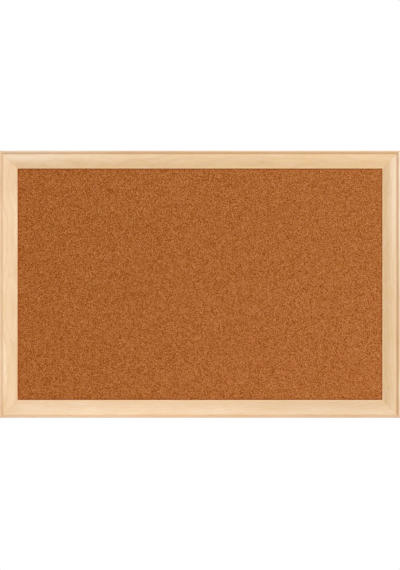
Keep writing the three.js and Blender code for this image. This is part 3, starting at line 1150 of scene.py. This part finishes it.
class BOARD_OT_studio(bpy.types.Operator):
    """Set up the camera, the lamps and a plain pale floor"""

    bl_idname = "cork_board.studio"
    bl_label = "Studio"

    def execute(self, context):
        studio = context.scene.board_studio
        self.camera(studio)
        self.lamp(studio, "key", studio.key_watts, studio.key_side, studio.key_height, -1)
        self.lamp(studio, "back", studio.back_watts, studio.back_side, studio.back_height, 1)
        self.sky(studio)
        self.floor(studio)
        context.scene.view_settings.view_transform = "Standard"
        return {"FINISHED"}

    def camera(self, studio):
        """A long lens square to the board."""
        data = bpy.data.cameras.new("camera")
        data.lens = studio.lens
        distance = studio.frame_height * data.lens / data.sensor_width
        camera = bpy.data.objects.new("camera", data)
        bpy.context.scene.collection.objects.link(camera)
        camera.location = Vector((MIDDLE.x, BOARD_LOW.y - distance, MIDDLE.z)) + Vector(studio.aim)
        camera.rotation_euler = (QUARTER, 0, 0)
        bpy.context.scene.camera = camera

    def lamp(self, studio, name, watts, side, height, facing):
        """A soft square lamp: facing is -1 before the board and 1 behind it. Its side is +x."""
        data = bpy.data.lights.new(name, "AREA")
        data.size = studio.lamp_size
        data.energy = watts
        lamp = bpy.data.objects.new(name, data)
        bpy.context.scene.collection.objects.link(lamp)
        towards = Vector((math.tan(side), facing, math.tan(height))).normalized()
        lamp.location = MIDDLE + towards * studio.lamp_distance
        lamp.rotation_euler = towards.to_track_quat("Z", "Y").to_euler()

    def sky(self, studio):
        """Even light on the board, and plain white for the camera, in gloss and through glass."""
        world = bpy.data.worlds.new("studio")
        bpy.context.scene.world = world
        world.use_nodes = True
        nodes = Nodes(world.node_tree)
        plain = world.node_tree.nodes["Background"]
        plain.inputs["Color"].default_value = (1.0, 1.0, 1.0, 1.0)
        plain.inputs["Strength"].default_value = studio.sky
        white = nodes.node("ShaderNodeBackground", None, {"Color": (1.0, 1.0, 1.0)})
        path = nodes.node("ShaderNodeLightPath")
        seen = path + path.output("Is Glossy Ray") + path.output("Is Transmission Ray")
        nodes.blend("World Output", seen, Shade(nodes, plain.outputs[0]), white)

    def floor(self, studio):
        """A pale floor well below the board, which fades out towards its edges."""
        place = Vector((MIDDLE.x, MIDDLE.y, BOARD_LOW.z - studio.floor_drop))
        bpy.ops.mesh.primitive_plane_add(size=studio.floor_size, location=place)
        floor = settled()
        floor.name = "floor"
        pale = Finish("floor")
        floor.data.materials.append(pale.shine(Base_Color=studio.floor_colour, Roughness=0.9))
        away = pale.math("LENGTH", pale.node("ShaderNodeTexCoord").output("Object") - tuple(place))
        fades, gone = (share * studio.floor_size for share in FLOOR_FADE)
        clear = pale.node("ShaderNodeBsdfTransparent")
        solid = Shade(pale, pale.shader.outputs[0])
        pale.blend("Material Output", away.between(fades, gone), solid, clear)


OPERATORS = (
    BOARD_OT_frame_sides,
    BOARD_OT_cork,
    BOARD_OT_boards,
    BOARD_OT_fixings,
    BOARD_OT_hangers,
    BOARD_OT_feet,
    BOARD_OT_studio,
)


class BOARD_PT_sidebar(bpy.types.Panel):
    """Sidebar panel with the board's sizes, colours and pieces"""

    bl_idname = "BOARD_PT_sidebar"
    bl_label = "Cork board"
    bl_space_type = "VIEW_3D"
    bl_region_type = "UI"
    bl_category = "Cork board"

    def draw(self, context):
        scene = context.scene
        for group in (scene.board_sizes, scene.board_colours, scene.board_studio):
            box = self.layout.box()
            for name in group.bl_rna.properties.keys():
                if name not in ("rna_type", "name"):
                    box.prop(group, name)
        for operator in OPERATORS:
            self.layout.operator(operator.bl_idname)


CLASSES = (BoardSizes, BoardColours, StudioSettings, *OPERATORS, BOARD_PT_sidebar)


def register():
    for registered in CLASSES:
        bpy.utils.register_class(registered)
    bpy.types.Scene.board_sizes = PointerProperty(type=BoardSizes)
    bpy.types.Scene.board_colours = PointerProperty(type=BoardColours)
    bpy.types.Scene.board_studio = PointerProperty(type=StudioSettings)


def unregister():
    del bpy.types.Scene.board_studio
    del bpy.types.Scene.board_colours
    del bpy.types.Scene.board_sizes
    for registered in reversed(CLASSES):
        bpy.utils.unregister_class(registered)


def main():
    register()
    bpy.ops.cork_board.frame_sides()
    bpy.ops.cork_board.cork()
    bpy.ops.cork_board.boards()
    bpy.ops.cork_board.fixings()
    bpy.ops.cork_board.hangers()
    bpy.ops.cork_board.feet()
    bpy.ops.cork_board.studio()


if __name__ == "__main__":
    main()
